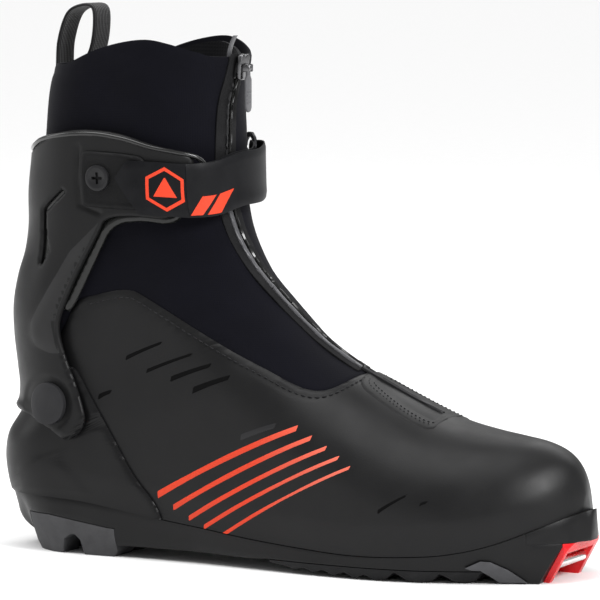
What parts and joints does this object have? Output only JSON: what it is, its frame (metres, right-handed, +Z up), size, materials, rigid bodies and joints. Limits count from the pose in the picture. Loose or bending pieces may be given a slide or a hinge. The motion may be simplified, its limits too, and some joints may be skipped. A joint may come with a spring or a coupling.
{
  "type": "cross-country skate ski boot",
  "caption": "Right skate-ski boot with hinged ankle cuff, zipped gaiter, fold-back strap, lined foot cavity and sole with a binding bar.",
  "frame": {"origin": "on the floor under the middle of the boot's bounding box", "axes": "+X to the toe, +Y to the inner (medial) side of the right foot, +Z up"},
  "size_m": [0.296, 0.0978, 0.2566],
  "materials": {
    "leather": "satin coated synthetic",
    "softshell": "matte stretch softshell",
    "foam": "textile over foam",
    "shell": "matte moulded",
    "rubber": "matte",
    "tape": "woven",
    "coil": "moulded",
    "metal": "satin",
    "cap": "fine textured",
    "bush": "plain",
    "strap": "smooth coated",
    "webbing": "ribbed weave",
    "grey_rubber": "matte",
    "red": "semi-gloss",
    "bumper": "gloss",
    "board": "fibre board"
  },
  "bodies": {
    "boot": {"upper": "leather", "gaiter_ankle": "softshell", "liner_foot": "foam", "liner_ankle": "foam", "tongue": "foam", "throat_patch": "leather", "zip_tape_ankle": "tape", "zip_coil_ankle": "coil", "heel_counter": "shell", "pivot_cap_lateral": "cap", "pivot_cap_medial": "cap", "pivot_bush_lateral": "bush", "pivot_bush_medial": "bush", "pivot_rivet_lateral": "metal", "pivot_rivet_medial": "metal", "outsole": "shell", "heel_tread": "grey_rubber", "forefoot_tread": "rubber", "toe_grip_lateral": "grey_rubber", "toe_grip_medial": "grey_rubber", "toe_insert": "red", "toe_bar": "metal", "toe_bumper": "bumper", "sole_shank": "shell", "lasting_board": "board", "footbed": "foam", "toe_puff": "board", "lace": "webbing", "lace_lock": "shell"},
    "cuff": {"cuff": "shell", "cuff_lining": "rubber", "gaiter_collar": "softshell", "liner_collar": "foam", "zip_tape_collar": "tape", "zip_coil_collar": "coil", "strap": "strap", "strap_base": "rubber", "strap_screw": "metal", "strap_nut": "metal", "strap_ring": "metal", "ring_anchor": "webbing", "anchor_rivet": "metal", "pull_loop": "webbing"},
    "strap_end": {"strap_end": "strap"},
    "zip_slider": {"zip_slider": "metal"},
    "zip_pull": {"zip_pull": "metal"}
  },
  "joints": [
    {"name": "cuff_tilt", "type": "hinge", "parent": "boot", "child": "cuff", "pos_m": [-0.10785, 0, 0.0713], "axis": [0, 1, 0], "range_deg": [0, 20], "deforming": ["gaiter_ankle", "liner_ankle", "tongue", "zip_tape_ankle", "zip_coil_ankle", "lace"]},
    {"name": "strap_peel", "type": "hinge", "parent": "cuff", "child": "strap_end", "pos_m": [-0.0372, -0.0388, 0.1725], "axis": [0, 0, 1], "range_deg": [0, 120]},
    {"name": "zip_slide", "type": "slide", "parent": "cuff", "child": "zip_slider", "axis": [-0.1365, -0.169, -0.9761], "range_m": [0, 0.015]},
    {"name": "zip_pull_swing", "type": "hinge", "parent": "zip_slider", "child": "zip_pull", "pos_m": [-0.02165, -0.00485, 0.2276], "axis": [0, -1, 0], "range_deg": [0, 150]}
  ]
}
